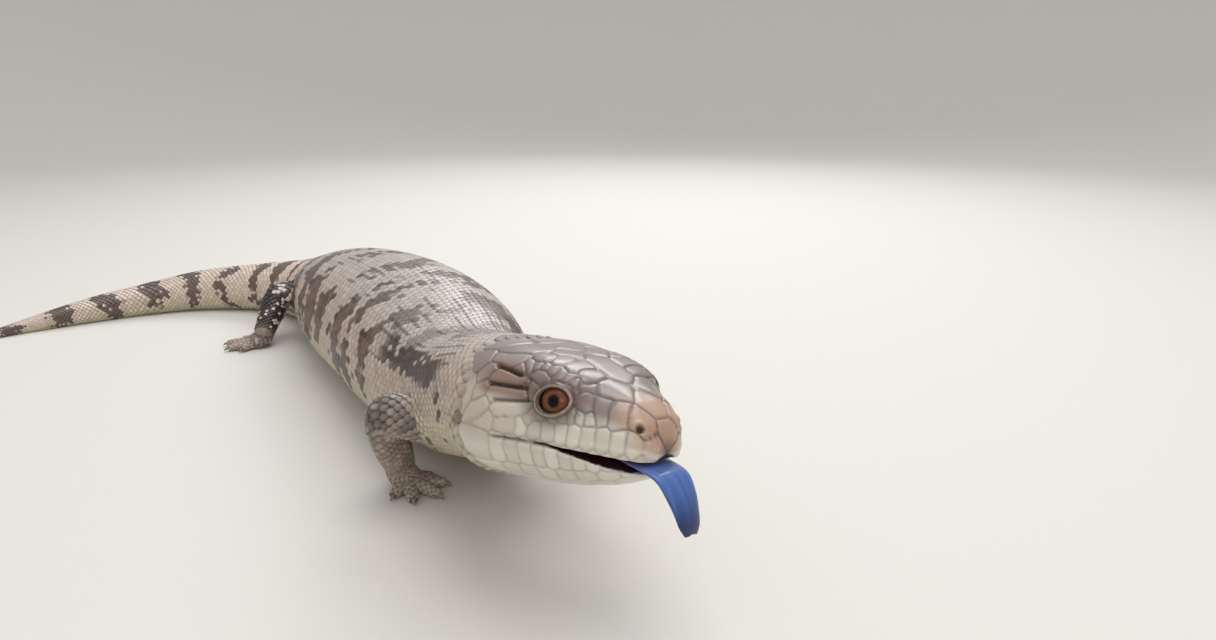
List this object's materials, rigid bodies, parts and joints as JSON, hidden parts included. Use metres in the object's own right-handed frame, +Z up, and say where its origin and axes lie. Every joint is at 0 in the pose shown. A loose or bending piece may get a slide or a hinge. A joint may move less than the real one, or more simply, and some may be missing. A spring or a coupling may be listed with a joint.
{
  "type": "blue tongued skink",
  "caption": "Life-size still model of a blue tongued skink standing low on four short legs, head turned and tongue out.",
  "frame": {"origin": "on the floor, under the middle of the belly", "axes": "+X towards the head, +Y to the animal's left, +Z up"},
  "size_m": [0.4237, 0.1943, 0.065],
  "materials": {
    "hide": "satin",
    "crown": "satin",
    "jaw": "satin",
    "tail": "satin",
    "legs": "satin",
    "eye": "gloss",
    "tongue": "wet"
  },
  "bodies": {
    "root": {"head": "crown", "lower_jaw": "jaw", "eye_right": "eye", "eye_left": "eye", "tongue": "tongue", "neck": "hide", "torso_front": "hide", "torso_rear": "hide", "tail_base": "tail", "tail_middle": "tail", "tail_tip": "tail", "front_right_upper": "legs", "front_right_lower": "legs", "front_right_foot": "legs", "front_left_upper": "legs", "front_left_lower": "legs", "front_left_foot": "legs", "hind_right_upper": "legs", "hind_right_lower": "legs", "hind_right_foot": "legs", "hind_left_upper": "legs", "hind_left_lower": "legs", "hind_left_foot": "legs"}
  },
  "joints": []
}
